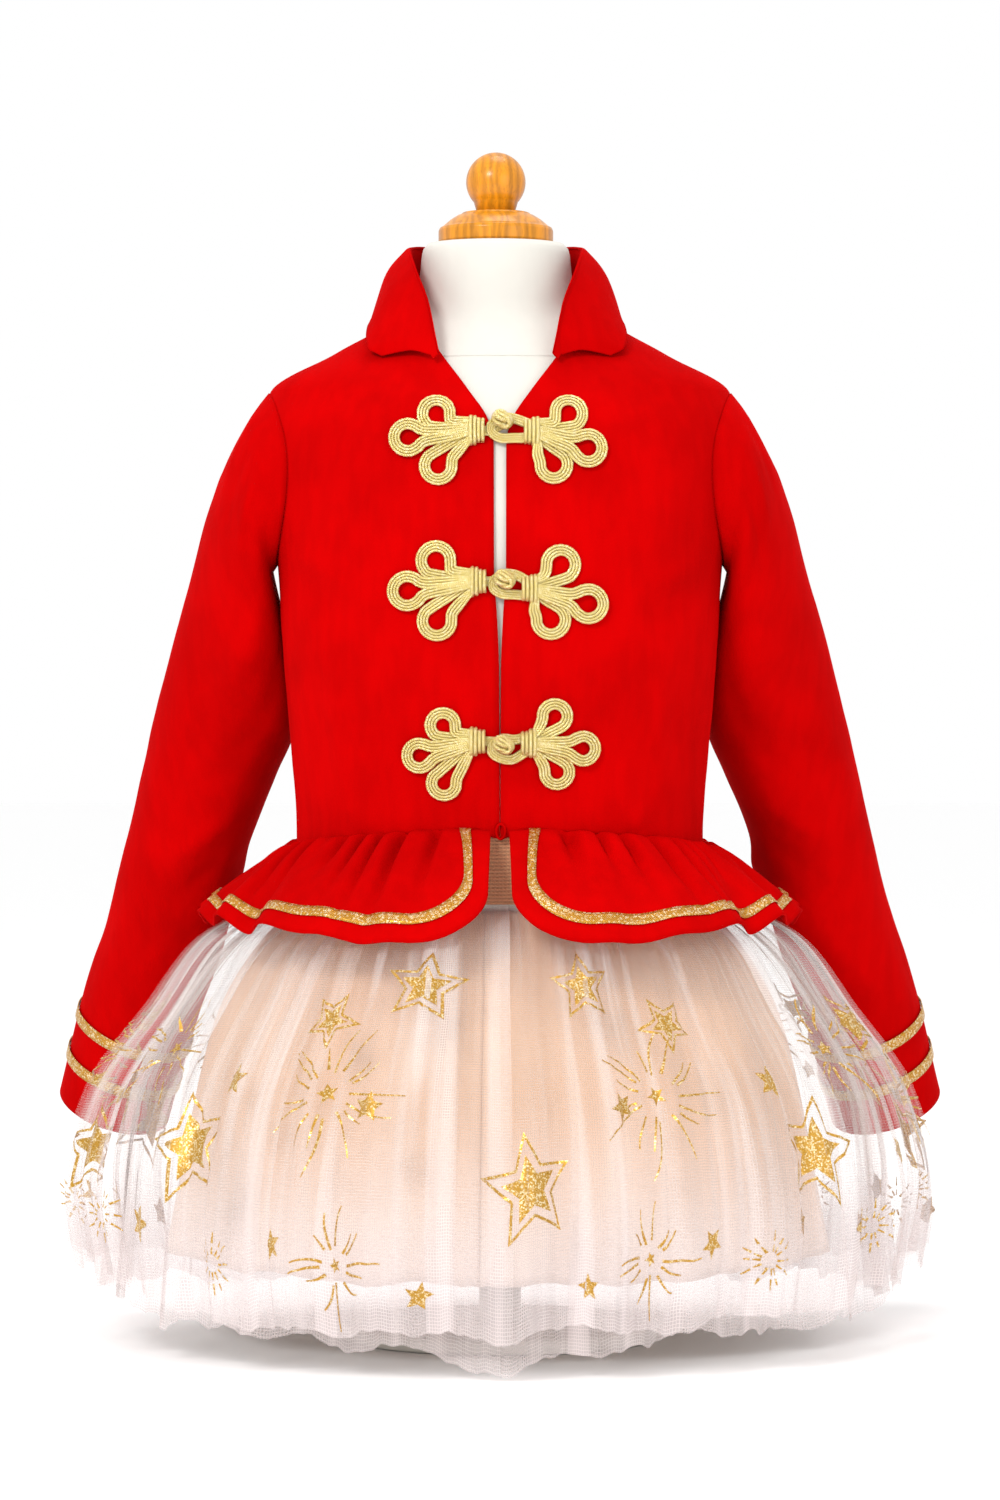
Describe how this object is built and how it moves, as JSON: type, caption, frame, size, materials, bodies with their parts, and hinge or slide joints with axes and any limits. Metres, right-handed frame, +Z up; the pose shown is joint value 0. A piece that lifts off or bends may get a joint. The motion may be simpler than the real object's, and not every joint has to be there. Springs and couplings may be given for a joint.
{
  "type": "toy soldier costume, a child's jacket and tutu, on a limbless dress form",
  "caption": "Child's red velvet jacket with gold frogs and a ruffled peplum over a gold-starred tulle tutu, on a dress form with a wooden cap.",
  "frame": {"origin": "the middle of the base's underside, on the surface that the form stands on", "axes": "+Z up along the post, the front of the costume faces -Y, +X is to the right of someone who faces it"},
  "size_m": [0.557, 0.4638, 0.7114],
  "materials": {
    "velvet": "red short-pile velvet with a soft sheen",
    "braid": "pale gold metallic braid cord",
    "ribbon": "gold metallic ribbon with a narrow weave",
    "star_tulle": "sheer ivory tulle with gold foil stars",
    "plain_tulle": "sheer blush tulle",
    "lining": "matt peach lining",
    "elastic": "peach ribbed elastic",
    "jersey": "cream cotton jersey",
    "wood": "honey-coloured turned wood, satin lacquer",
    "stand": "cream satin paint"
  },
  "bodies": {
    "root": {"form_torso": "jersey", "form_cap": "wood", "form_knob": "wood", "form_post": "stand", "form_base": "stand", "jacket_front_right": "velvet", "jacket_front_left": "velvet", "jacket_back": "velvet", "sleeve_right": "velvet", "cuff_ribbon_right_upper": "ribbon", "cuff_ribbon_right_lower": "ribbon", "sleeve_left": "velvet", "cuff_ribbon_left_upper": "ribbon", "cuff_ribbon_left_lower": "ribbon", "collar": "velvet", "peplum": "velvet", "peplum_ribbon": "ribbon", "frog_top_left": "braid", "frog_top_right": "braid", "frog_top_knot": "braid", "frog_middle_left": "braid", "frog_middle_right": "braid", "frog_middle_knot": "braid", "frog_bottom_left": "braid", "frog_bottom_right": "braid", "frog_bottom_knot": "braid", "skirt_waistband": "elastic", "skirt_star_tulle": "star_tulle", "skirt_under_tulle": "plain_tulle", "skirt_lining": "lining"}
  },
  "joints": []
}
